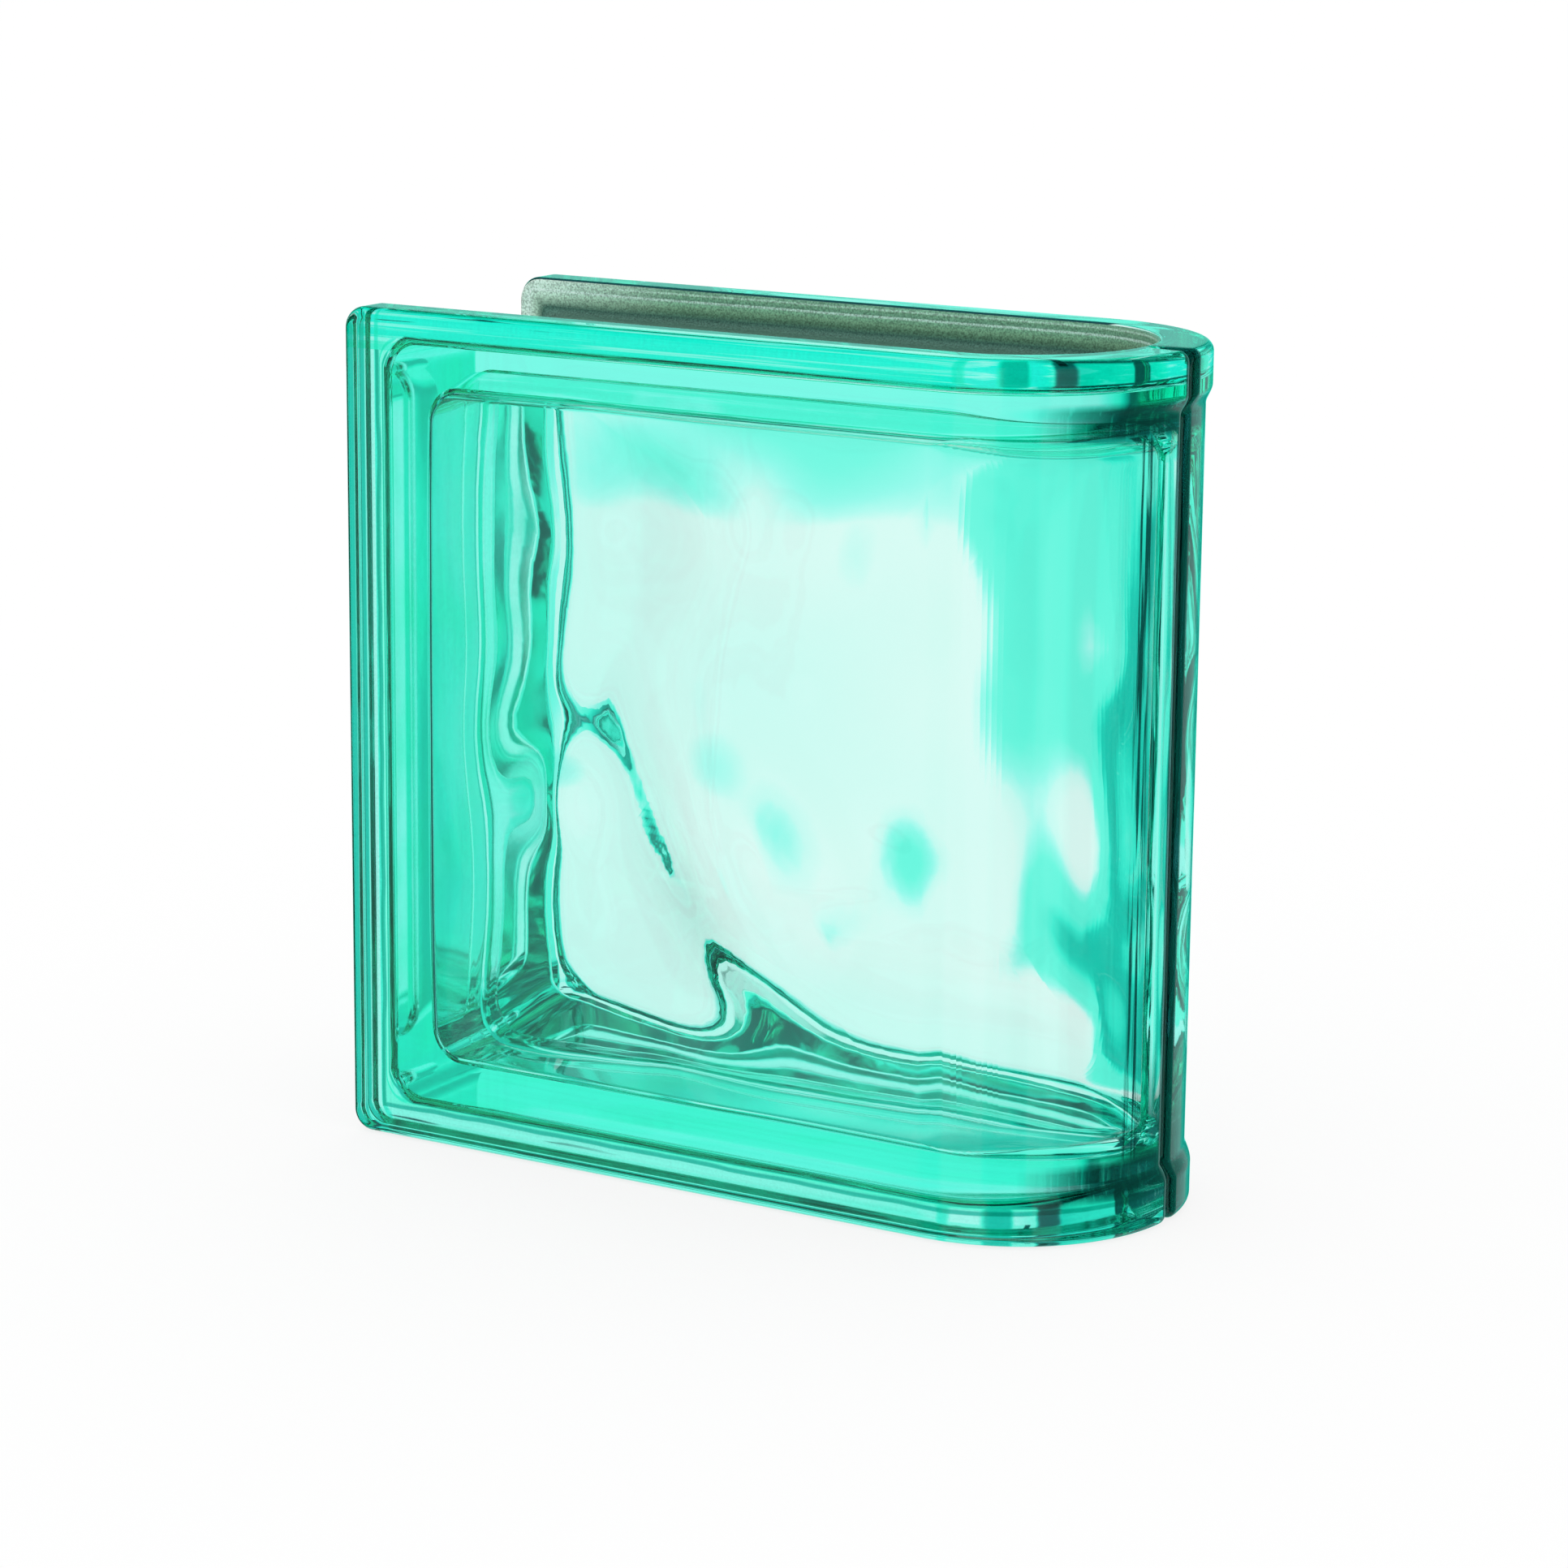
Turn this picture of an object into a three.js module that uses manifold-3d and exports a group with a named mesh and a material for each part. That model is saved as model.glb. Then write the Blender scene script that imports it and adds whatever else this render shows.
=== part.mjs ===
// A hollow glass block with one rounded end, the kind that finishes a free edge of a glass wall.
// Two pressed glass dishes are fused rim to rim on the middle plane. Flanges stand round the faces,
// and the channel between them, which takes the mortar, is lined with a grey bonding coat.
//
// Frame: +X from the square end to the rounded end, +Y from the front face to the back face, +Z up.
// The origin is under the middle of the block, on the surface it stands on. Millimetres.
import * as THREE from 'three';
import { mergeVertices } from 'three/addons/utils/BufferGeometryUtils.js';
import Module from 'manifold-3d';

// ---- Driving dimensions ----

// Outside of the block.
const BLOCK_LENGTH = 190;
const BLOCK_HEIGHT = 190;
const BLOCK_DEPTH = 80;
const END_REACH = 40; // the rounded end, past the end of the flat faces
const CORNER_RADIUS = 5; // corners of the flanges at the square end
const EDGE_ROUND = 2.3; // between a face and the edge of its flange
const SEAM_ROUND = 3; // outer edge of each dish where the two meet

// Rounded end: lips at the top and bottom, with the wall between them set back.
const LIP_HEIGHT = 9;
const LIP_BLEND = 4.5; // height over which a lip runs into the wall
const END_RECESS = 1.7;

// Mortar channel.
const FLANGE_THICKNESS = 9.8;
const CHANNEL_DEPTH = 8.5;
const CHANNEL_FLOOR_ROUND = 2.5;
const FLANGE_INNER_ROUND = 1;
const CHANNEL_CORNER_RADIUS = 7;
const END_RIM = 12; // glass left between the channel and the tip of the rounded end
const COAT_THICKNESS = 0.4;
const COAT_MARGIN = 0.4; // bare glass between the edge of the flange and the coat

// Cavity in each dish.
const FACE_THICKNESS = 8;
const WALL_THICKNESS = 6.5;
const WALL_DRAFT = 2.5; // how much thicker the wall is at the face than at the seam
const CAVITY_ROUND = 2.5; // between the wall and the face plate
const CAVITY_CORNER_RADIUS = 8;
const SEAM_BEAD = 1.3; // ridge squeezed inwards where the rims fused
const SEAM_BEAD_WIDTH = 4;
const FACE_DISH = 2.5; // how much thicker the face plate grows towards the walls
const FACE_DISH_REACH = 35;

// Waves pressed into the inner side of each face plate, as soft hills (glass thinner) and
// hollows (glass thicker): the middle of each, how far it spreads and how high it is. The long
// ones have a crest, whose half is given by spanX and spanZ.
const FRONT_WAVES = [
  { x: -48, z: 31, reach: 20, height: -2.5 },
  { x: -43, z: 96, reach: 18, height: -5.5 },
  { x: -42, z: 85, reach: 11, height: 4.2 },
  { x: -40, z: 104, reach: 14, height: 1.8 },
  { x: -39, z: 120, reach: 11, height: 0.8 },
  { x: -38, z: 143, reach: 27, height: -5.7 },
  { x: -38, z: 144, reach: 15, height: 2.3 },
  { x: -34, z: 112, reach: 11, height: -1.1 },
  { x: -4, z: 28, reach: 14, height: 2 },
  { x: -2, z: 83, reach: 19, height: 3.9 },
  { x: 6, z: 52, reach: 45, height: -4.8 },
  { x: 11, z: 62, reach: 21, height: 6 },
];
const BACK_WAVES = [
  { x: -84, z: 62, spanX: 0, spanZ: 22, reach: 16, height: -2 },
  { x: -47, z: 150, spanX: -14, spanZ: 8, reach: 16, height: -3.6 },
  { x: -33, z: 138, spanX: 12, spanZ: -4, reach: 24, height: 5.2 },
  { x: -16, z: 110, spanX: -18, spanZ: -6, reach: 21, height: -3.6 },
  { x: -10, z: 55, spanX: 8, spanZ: 1, reach: 16, height: 5.3 },
  { x: 1, z: 41, spanX: -30, spanZ: 9, reach: 16, height: -4.8 },
  { x: 20, z: 137, spanX: -7, spanZ: -30, reach: 24, height: 4.7 },
  { x: 27, z: 36, spanX: 30, spanZ: -2, reach: 10, height: 4.9 },
  { x: 37, z: 55, spanX: 17, spanZ: 15, reach: 20, height: 3.9 },
  { x: 52, z: 157, spanX: -16, spanZ: -4, reach: 19, height: -3.7 },
  { x: 58, z: 87, spanX: 4, spanZ: -14, reach: 13, height: 3 },
  { x: 64, z: 80, spanX: -1, spanZ: -19, reach: 19, height: -7 },
  { x: 64, z: 90, spanX: 2, spanZ: 25, reach: 11, height: 3.4 },
];

// ---- Worked out from the above ----

const LEFT = -BLOCK_LENGTH / 2;
const HALF_DEPTH = BLOCK_DEPTH / 2;
const FLAT_END = BLOCK_LENGTH / 2 - END_REACH;
const CHANNEL_HALF_WIDTH = HALF_DEPTH - FLANGE_THICKNESS;
const CHANNEL_REACH = END_REACH - END_RIM;
const CAVITY_DEPTH = HALF_DEPTH - FACE_THICKNESS;
const CAVITY_INSET = CHANNEL_DEPTH + WALL_THICKNESS;
const FACE_INSET = CAVITY_INSET + WALL_DRAFT;
const CAVITY_REACH = END_REACH - END_RECESS - WALL_THICKNESS;
const CUTTER_MARGIN = 4;

// Fineness of the curves.
const ARC_STEPS = 4;
const END_STEPS = 11;
const CORNER_STEPS = 4;
const WAVE_STEPS = 12;

// ---- Shape helpers ----

// How far a quarter round of this radius stands back, at a distance from the edge it rounds.
function roundSetback(distance, radius) {
  const rest = Math.max(0, radius - distance);
  return radius - Math.sqrt(radius * radius - rest * rest);
}

// Distances from an edge that divide its quarter round evenly, edge first.
function roundStations(radius) {
  const stations = [];
  for (let i = 0; i <= ARC_STEPS; i++) {
    stations.push(radius * (1 - Math.cos((i / ARC_STEPS) * Math.PI / 2)));
  }
  return stations;
}

// A rounded end in plan: how far it reaches past the flat faces at depth y.
function endReach(y, reach, halfWidth) {
  const ratio = Math.min(1, Math.abs(y) / halfWidth);
  return reach * Math.sqrt(1 - ratio * ratio);
}

function smoothStep(t) {
  const s = THREE.MathUtils.clamp(t, 0, 1);
  return s * s * (3 - 2 * s);
}

// Points on a quarter of a circle in the XZ plane, from startAngle on, in degrees.
function cornerArc(cx, cz, radius, startAngle, sweep) {
  const points = [];
  for (let i = 0; i <= CORNER_STEPS; i++) {
    const angle = THREE.MathUtils.degToRad(startAngle + (sweep * i) / CORNER_STEPS);
    points.push([cx + radius * Math.cos(angle), cz + radius * Math.sin(angle)]);
  }
  return points;
}

// Sorted depths without near repeats, deepest first.
function mergeLevels(levels) {
  const sorted = [...levels].sort((a, b) => b - a);
  return sorted.filter((level, i) => i === 0 || sorted[i - 1] - level > 0.05);
}

// A closed solid through rings of equally many points. Each end is closed by a fan from its apex.
function loft(rings, apexes) {
  const positions = rings.flat(2);
  const count = rings[0].length;
  const index = [];
  for (let level = 0; level + 1 < rings.length; level++) {
    for (let i = 0; i < count; i++) {
      const next = (i + 1) % count;
      const a = level * count + i;
      const b = level * count + next;
      index.push(a, b, b + count);
      index.push(a, b + count, a + count);
    }
  }
  const first = positions.length / 3;
  positions.push(...apexes[0], ...apexes[1]);
  const lastRing = (rings.length - 1) * count;
  for (let i = 0; i < count; i++) {
    const next = (i + 1) % count;
    index.push(first, next, i);
    index.push(first + 1, lastRing + i, lastRing + next);
  }
  return closedGeometry(positions, index);
}

// Merges coincident points, drops the triangles that collapse and turns the faces outwards.
function closedGeometry(positions, index) {
  const raw = new THREE.BufferGeometry();
  raw.setAttribute('position', new THREE.Float32BufferAttribute(positions, 3));
  raw.setIndex(index);
  const merged = mergeVertices(raw, 1e-4);
  const source = merged.index.array;
  const kept = [];
  for (let i = 0; i < source.length; i += 3) {
    const [a, b, c] = [source[i], source[i + 1], source[i + 2]];
    if (a !== b && b !== c && c !== a) kept.push(a, b, c);
  }
  if (signedVolume(merged.attributes.position, kept) < 0) kept.reverse();
  merged.setIndex(kept);
  return merged;
}

function signedVolume(position, index) {
  const [a, b, c] = [new THREE.Vector3(), new THREE.Vector3(), new THREE.Vector3()];
  let volume = 0;
  for (let i = 0; i < index.length; i += 3) {
    a.fromBufferAttribute(position, index[i]);
    b.fromBufferAttribute(position, index[i + 1]);
    c.fromBufferAttribute(position, index[i + 2]);
    volume += a.dot(b.cross(c)) / 6;
  }
  return volume;
}

// ---- Joins and cuts ----

const wasm = await Module();
wasm.setup();

function toSolid(geometry) {
  return new wasm.Manifold(new wasm.Mesh({
    numProp: 3,
    vertProperties: Float32Array.from(geometry.attributes.position.array),
    triVerts: Uint32Array.from(geometry.index.array),
  }));
}

function toGeometry(solid) {
  const mesh = solid.getMesh();
  const geometry = new THREE.BufferGeometry();
  geometry.setAttribute('position', new THREE.BufferAttribute(mesh.vertProperties, 3));
  geometry.setIndex(new THREE.BufferAttribute(mesh.triVerts, 1));
  geometry.computeVertexNormals();
  return geometry;
}

// ---- Outside of one dish ----

// Heights above the edge of the end at which its profile bends: round, lip, blend into the wall.
function endHeights() {
  const heights = roundStations(EDGE_ROUND);
  for (let i = 0; i <= ARC_STEPS; i++) {
    heights.push(LIP_HEIGHT + LIP_BLEND * (i / ARC_STEPS));
  }
  return heights;
}

// One slice of the outside, parallel to the faces, at a distance from the middle plane.
function outsideRing(side, distance) {
  const faceInset = roundSetback(HALF_DEPTH - distance, EDGE_ROUND);
  const seamInset = roundSetback(distance, SEAM_ROUND);
  const inset = faceInset + seamInset;
  const radius = CORNER_RADIUS - inset;
  const lowCorner = cornerArc(LEFT + CORNER_RADIUS, CORNER_RADIUS, radius, 180, 90);
  const highCorner = cornerArc(LEFT + CORNER_RADIUS, BLOCK_HEIGHT - CORNER_RADIUS, radius, 90, 90);
  const end = endHeights().map((height) => {
    const rise = Math.max(height, faceInset);
    const edge = roundSetback(rise, EDGE_ROUND);
    const recess = END_RECESS * smoothStep((rise - LIP_HEIGHT) / LIP_BLEND);
    const reach = END_REACH - edge - recess - seamInset;
    return [FLAT_END + endReach(distance, reach, HALF_DEPTH - edge), seamInset + rise];
  });
  const endAbove = end.map(([x, z]) => [x, BLOCK_HEIGHT - z]).reverse();
  const outline = [...lowCorner, ...end, ...endAbove, ...highCorner];
  return outline.map(([x, z]) => [x, side * distance, z]);
}

function outsideOfDish(side) {
  const levels = [...roundStations(EDGE_ROUND).map((d) => HALF_DEPTH - d)];
  levels.push(...roundStations(SEAM_ROUND));
  for (let i = 1; i < END_STEPS; i++) {
    levels.push(HALF_DEPTH * Math.cos((i / END_STEPS) * Math.PI / 2));
  }
  const rings = mergeLevels(levels).map((distance) => outsideRing(side, distance));
  const middle = BLOCK_HEIGHT / 2;
  return loft(rings, [[0, side * HALF_DEPTH, middle], [0, 0, middle]]);
}

// ---- Mortar channel ----

// How far the channel spreads past its wall at a depth from the flange edge: out at the mouth,
// where the flange edge is rounded, and in at the floor, where the corner is filled.
function channelSpread(depth, shrink) {
  const floor = CHANNEL_DEPTH - shrink;
  const mouth = roundSetback(depth, FLANGE_INNER_ROUND);
  return mouth - roundSetback(floor - depth, CHANNEL_FLOOR_ROUND) - shrink;
}

// Depths at which that profile bends, mouth first.
function channelDepths(shrink) {
  const floor = CHANNEL_DEPTH - shrink;
  const mouth = roundStations(FLANGE_INNER_ROUND);
  const bottom = roundStations(CHANNEL_FLOOR_ROUND).map((d) => floor - d);
  return [...mouth, ...bottom.reverse()];
}

// A slice of the space in the channel, parallel to the faces. It runs round three sides, from the
// rounded end along the bottom, up the square end and back along the top. depth is how deep the
// slice goes, and outer is how far its outer border stands inside the flange edges.
function channelRing(distance, depth, shrink, outer) {
  const end = channelDepths(shrink).map((d) => {
    const own = THREE.MathUtils.clamp(d, outer, depth);
    const spread = channelSpread(own, shrink);
    const reach = endReach(distance, CHANNEL_REACH + spread, CHANNEL_HALF_WIDTH + spread);
    return [FLAT_END + reach, own];
  });
  const top = BLOCK_HEIGHT;
  const mix = depth / CHANNEL_DEPTH;
  const radius = THREE.MathUtils.lerp(CORNER_RADIUS, CHANNEL_CORNER_RADIUS, mix);
  const at = depth + radius;
  const outerRadius = Math.max(0, CORNER_RADIUS - Math.abs(outer));
  const o = outer + outerRadius;
  return [
    [end[0][0], outer],
    ...cornerArc(LEFT + o, o, outerRadius, 270, -90),
    ...cornerArc(LEFT + o, top - o, outerRadius, 180, -90),
    [end[0][0], top - outer],
    ...end.map(([x, z]) => [x, top - z]),
    ...cornerArc(LEFT + at, top - at, radius, 90, 90),
    ...cornerArc(LEFT + at, at, radius, 180, 90),
    ...[...end].reverse(),
  ];
}

// The space in the channel as a solid, shrunk evenly on its walls and floor.
function channelSpace(shrink, outer) {
  const depths = channelDepths(shrink).filter((depth) => depth > outer);
  const slices = depths.map((depth) => [CHANNEL_HALF_WIDTH + channelSpread(depth, shrink), depth]);
  const floor = CHANNEL_DEPTH - shrink;
  const straight = slices[slices.length - 1][0];
  for (let i = 1; i <= END_STEPS; i++) {
    const distance = CHANNEL_HALF_WIDTH * Math.cos((i / END_STEPS) * Math.PI / 2);
    if (distance < straight - 0.1) slices.push([distance, floor]);
  }
  const half = slices.map(([distance, depth]) => ({ y: -distance, depth }));
  const others = half.slice(0, -1).reverse().map(({ y, depth }) => ({ y: -y, depth }));
  const rings = [...half, ...others].map(({ y, depth }) => {
    const ring = channelRing(Math.abs(y), depth, shrink, outer);
    return ring.map(([x, z]) => [x, y, z]);
  });
  return stripLoft(rings);
}

// A closed solid through bent, open-sided rings: its flat ends are cut into triangles.
function stripLoft(rings) {
  const count = rings[0].length;
  const positions = rings.flat(2);
  const index = [];
  for (let level = 0; level + 1 < rings.length; level++) {
    for (let i = 0; i < count; i++) {
      const next = (i + 1) % count;
      const a = level * count + i;
      const b = level * count + next;
      index.push(a, b, b + count);
      index.push(a, b + count, a + count);
    }
  }
  for (const level of [0, rings.length - 1]) {
    const contour = rings[level].map(([x, , z]) => new THREE.Vector2(x, z));
    const turned = THREE.ShapeUtils.isClockWise(contour) === (level === 0);
    const base = level * count;
    for (const [a, b, c] of THREE.ShapeUtils.triangulateShape(contour, [])) {
      if (turned) index.push(base + a, base + b, base + c);
      else index.push(base + c, base + b, base + a);
    }
  }
  return closedGeometry(positions, index);
}

// ---- Cavity ----

// How high one wave stands at a place, by the distance from its middle or its crest.
function waveHeight(x, z, wave) {
  const { spanX = 0, spanZ = 0 } = wave;
  const length = spanX * spanX + spanZ * spanZ;
  const shadow = (x - wave.x) * spanX + (z - wave.z) * spanZ;
  const along = length > 0 ? THREE.MathUtils.clamp(shadow / length, -1, 1) : 0;
  const apart = Math.hypot(x - wave.x - along * spanX, z - wave.z - along * spanZ) / wave.reach;
  return wave.height * Math.exp(-apart * apart);
}

// How much deeper than a flat one the face of the cavity is at a place.
function waveAt(x, z, waves) {
  const walls = [x - LEFT - FACE_INSET, z - FACE_INSET, BLOCK_HEIGHT - FACE_INSET - z];
  let height = 0;
  for (const distance of walls) {
    const near = Math.max(0, 1 - distance / FACE_DISH_REACH);
    height -= FACE_DISH * near * near;
  }
  for (const wave of waves) height += waveHeight(x, z, wave);
  return height;
}

// A ring of the cavity carried to its distance from the seam, with the waves fading out on the way.
function wavedRing(ring, side, distance, waves) {
  const share = smoothStep(distance / CAVITY_DEPTH);
  return ring.map(([x, z]) => [x, side * (distance + share * waveAt(x, z, waves)), z]);
}

// Rounded rectangle in the XZ plane with its straight sides divided, so that it can be waved.
function dividedRing(x0, x1, z0, z1, leftRadius, rightRadius) {
  const corners = [
    cornerArc(x0 + leftRadius, z0 + leftRadius, leftRadius, 180, 90),
    cornerArc(x1 - rightRadius, z0 + rightRadius, rightRadius, 270, 90),
    cornerArc(x1 - rightRadius, z1 - rightRadius, rightRadius, 0, 90),
    cornerArc(x0 + leftRadius, z1 - leftRadius, leftRadius, 90, 90),
  ];
  const ring = [];
  corners.forEach((arc, i) => {
    ring.push(...arc);
    const from = arc[arc.length - 1];
    const to = corners[(i + 1) % corners.length][0];
    for (let step = 1; step < WAVE_STEPS; step++) {
      const t = step / WAVE_STEPS;
      ring.push([from[0] + (to[0] - from[0]) * t, from[1] + (to[1] - from[1]) * t]);
    }
  });
  return ring;
}

// A slice of the cavity, parallel to the faces, at a distance from the middle plane.
function cavityRing(distance) {
  const bead = SEAM_BEAD * Math.sqrt(Math.max(0, 1 - (distance / SEAM_BEAD_WIDTH) ** 2));
  const corner = roundSetback(CAVITY_DEPTH - distance, CAVITY_ROUND);
  const draft = WALL_DRAFT * (distance / CAVITY_DEPTH);
  const inset = CAVITY_INSET + draft + bead + corner;
  const radius = Math.max(CAVITY_CORNER_RADIUS - corner, 1);
  const right = FLAT_END + endReach(distance, CAVITY_REACH - bead, CAVITY_DEPTH);
  return dividedRing(LEFT + inset, right, inset, BLOCK_HEIGHT - inset, radius, radius);
}

function cavity(side, waves) {
  const levels = roundStations(CAVITY_ROUND).map((d) => CAVITY_DEPTH - d);
  levels.push(...roundStations(SEAM_BEAD_WIDTH).map((d) => SEAM_BEAD_WIDTH - d));
  for (let i = 1; i < END_STEPS; i++) {
    levels.push(CAVITY_DEPTH * Math.cos((i / END_STEPS) * Math.PI / 2));
  }
  const mouth = cavityRing(0).map(([x, z]) => [x, -side * CUTTER_MARGIN, z]);
  const walls = mergeLevels(levels).reverse().map((distance) => (
    wavedRing(cavityRing(distance), side, distance, waves)
  ));
  const rim = cavityRing(CAVITY_DEPTH);
  const centre = [(rim[0][0] + FLAT_END) / 2, BLOCK_HEIGHT / 2];
  const face = [];
  for (let step = WAVE_STEPS - 1; step >= 1; step--) {
    const t = step / WAVE_STEPS;
    const ring = rim.map(([x, z]) => [
      centre[0] + (x - centre[0]) * t,
      centre[1] + (z - centre[1]) * t,
    ]);
    face.push(wavedRing(ring, side, CAVITY_DEPTH, waves));
  }
  return loft([mouth, ...walls, ...face], [
    [centre[0], -side * CUTTER_MARGIN, centre[1]],
    wavedRing([centre], side, CAVITY_DEPTH, waves)[0],
  ]);
}

// ---- The pieces ----

function dish(side, waves) {
  const body = toSolid(outsideOfDish(side));
  const channel = toSolid(channelSpace(0, -CUTTER_MARGIN));
  const hollow = toSolid(cavity(side, waves));
  return toGeometry(body.subtract(channel).subtract(hollow));
}

function edgeCoat() {
  const filled = toSolid(channelSpace(0, COAT_MARGIN));
  const bare = toSolid(channelSpace(COAT_THICKNESS, -CUTTER_MARGIN));
  return toGeometry(filled.subtract(bare));
}

function piece(name, geometry, material) {
  const mesh = new THREE.Mesh(geometry, material);
  mesh.name = name;
  return mesh;
}

const GLASS_FINISH = { color: '#5fe3c6', roughness: 0.04, metalness: 0, transparent: true, opacity: 0.45 };
const COAT_FINISH = { color: '#8d8d80', roughness: 0.42, metalness: 0.55 };

const block = new THREE.Group();
block.name = 'rounded_end_glass_block';
block.add(piece('front_dish', dish(-1, FRONT_WAVES), new THREE.MeshStandardMaterial(GLASS_FINISH)));
block.add(piece('back_dish', dish(1, BACK_WAVES), new THREE.MeshStandardMaterial(GLASS_FINISH)));
block.add(piece('edge_coat', edgeCoat(), new THREE.MeshStandardMaterial(COAT_FINISH)));

export default block;
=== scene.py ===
"""The looks of a hollow glass block with one rounded end: clear turquoise glass and a grey edge coat."""

import math

import bmesh
import bpy
import numpy as np
from mathutils import Matrix, Vector


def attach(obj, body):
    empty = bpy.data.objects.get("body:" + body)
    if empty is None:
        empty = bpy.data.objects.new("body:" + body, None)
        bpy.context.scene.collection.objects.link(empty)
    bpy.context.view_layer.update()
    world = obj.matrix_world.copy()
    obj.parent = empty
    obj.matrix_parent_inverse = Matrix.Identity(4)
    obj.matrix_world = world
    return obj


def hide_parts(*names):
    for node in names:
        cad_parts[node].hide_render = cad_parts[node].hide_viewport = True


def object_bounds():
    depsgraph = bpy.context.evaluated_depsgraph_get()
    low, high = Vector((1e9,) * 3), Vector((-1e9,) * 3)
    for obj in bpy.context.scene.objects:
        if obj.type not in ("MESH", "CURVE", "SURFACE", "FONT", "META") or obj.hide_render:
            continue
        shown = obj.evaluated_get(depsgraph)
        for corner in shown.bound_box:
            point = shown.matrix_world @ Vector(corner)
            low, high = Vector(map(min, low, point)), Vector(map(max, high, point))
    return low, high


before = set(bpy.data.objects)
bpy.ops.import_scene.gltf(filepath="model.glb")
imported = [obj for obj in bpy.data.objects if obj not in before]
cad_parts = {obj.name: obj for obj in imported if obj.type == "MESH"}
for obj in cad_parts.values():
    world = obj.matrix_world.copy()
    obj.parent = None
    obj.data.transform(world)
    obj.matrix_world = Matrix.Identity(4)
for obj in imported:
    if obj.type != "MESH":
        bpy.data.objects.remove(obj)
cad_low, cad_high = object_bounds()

# ---- Fused glass ----
# Two dishes of soda-lime glass, pressed in a mould and fused rim to rim while hot, so that light meets
# no joint inside. The colour runs through the mass: pale through the faces, deep along the edges.

MM = 0.001

BLOCK_LEFT = cad_low.x
BLOCK_HEIGHT = cad_high.z - cad_low.z
HALF_HEIGHT = BLOCK_HEIGHT / 2
HALF_DEPTH = (cad_high.y - cad_low.y) / 2
END_REACH = 40 * MM
# The widest slice of the solid stands this much inside the full reach of its end.
END_SHORTFALL = 0.05 * MM
FLAT_END = cad_high.x + END_SHORTFALL - END_REACH
CORNER_RADIUS = 5 * MM
EDGE_ROUND = 2.3 * MM
SEAM_ROUND = 3.0 * MM
LIP_HEIGHT = 9.0 * MM
LIP_BLEND = 4.5 * MM
END_RECESS = 1.7 * MM

FLANGE_THICKNESS = 9.8 * MM
CHANNEL_DEPTH = 8.5 * MM
CHANNEL_FLOOR_ROUND = 2.5 * MM
FLANGE_INNER_ROUND = 1.0 * MM
CHANNEL_CORNER_RADIUS = 7.0 * MM
END_RIM = 12.0 * MM
COAT_MARGIN = 0.4 * MM

FACE_THICKNESS = 8.0 * MM
WALL_THICKNESS = 6.5 * MM
WALL_DRAFT = 2.5 * MM
CAVITY_ROUND = 2.5 * MM
CAVITY_CORNER_RADIUS = 8.0 * MM
SMALLEST_CORNER = 1.0 * MM
SEAM_BEAD = 1.3 * MM
SEAM_BEAD_WIDTH = 4.0 * MM
FACE_DISH = 2.5 * MM
FACE_DISH_REACH = 35.0 * MM

# The waves pressed into the inner faces, each a round or long dip, or a swell where its depth is less
# than nothing. All in mm: x and z of its middle, x and z of its run each way, its width and its depth.
FRONT_WAVES = (
    (-48, 31, 0, 0, 20, -2.5),
    (-43, 96, 0, 0, 18, -5.5),
    (-42, 85, 0, 0, 11, 4.2),
    (-40, 104, 0, 0, 14, 1.8),
    (-39, 120, 0, 0, 11, 0.8),
    (-38, 143, 0, 0, 27, -5.7),
    (-38, 144, 0, 0, 15, 2.3),
    (-34, 112, 0, 0, 11, -1.1),
    (-4, 28, 0, 0, 14, 2.0),
    (-2, 83, 0, 0, 19, 3.9),
    (6, 52, 0, 0, 45, -4.8),
    (11, 62, 0, 0, 21, 6.0),
)
BACK_WAVES = (
    (-84, 62, 0, 22, 16, -2.0),
    (-47, 150, -14, 8, 16, -3.6),
    (-33, 138, 12, -4, 24, 5.2),
    (-16, 110, -18, -6, 21, -3.6),
    (-10, 55, 8, 1, 16, 5.3),
    (1, 41, -30, 9, 16, -4.8),
    (20, 137, -7, -30, 24, 4.7),
    (27, 36, 30, -2, 10, 4.9),
    (37, 55, 17, 15, 20, 3.9),
    (52, 157, -16, -4, 19, -3.7),
    (58, 87, 4, -14, 13, 3.0),
    (64, 80, -1, -19, 19, -7.0),
    (64, 90, 2, 25, 11, 3.4),
)

CHANNEL_HALF_WIDTH = HALF_DEPTH - FLANGE_THICKNESS
CHANNEL_REACH = END_REACH - END_RIM
CAVITY_DEPTH = HALF_DEPTH - FACE_THICKNESS
CAVITY_INSET = CHANNEL_DEPTH + WALL_THICKNESS
FACE_INSET = CAVITY_INSET + WALL_DRAFT
CAVITY_REACH = END_REACH - END_RECESS - WALL_THICKNESS

# How finely the mesh follows each stretch of the shape.
ROUND_STEPS = 8
CAVITY_ROUND_STEPS = 10
END_STEPS = 48
CORNER_STEPS = 12
LIP_STEPS = 3
LIP_BLEND_STEPS = 10
SHOULDER_STEPS = 4
FLANGE_STEPS = 6
SPAN_STEPS = 12
WAVE_STEPS = 30
FACE_STEPS = 42
# Narrow bands round the outer faces keep their flats flat beside the rounded edges.
FACE_BANDS = (0.985, 0.9)
LEAST_LEVEL_GAP = 0.3 * MM
MERGE_DISTANCE = 1e-7


def round_setback(distance, radius):
    """How far a quarter round stands back at a distance from the edge that it rounds."""
    rest = max(0.0, radius - distance)
    return radius - math.sqrt(radius * radius - rest * rest)


def round_stations(radius, steps=ROUND_STEPS):
    """Distances from an edge that divide its quarter round evenly, edge first."""
    return [radius * (1 - math.cos(i / steps * math.pi / 2)) for i in range(steps + 1)]


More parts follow.
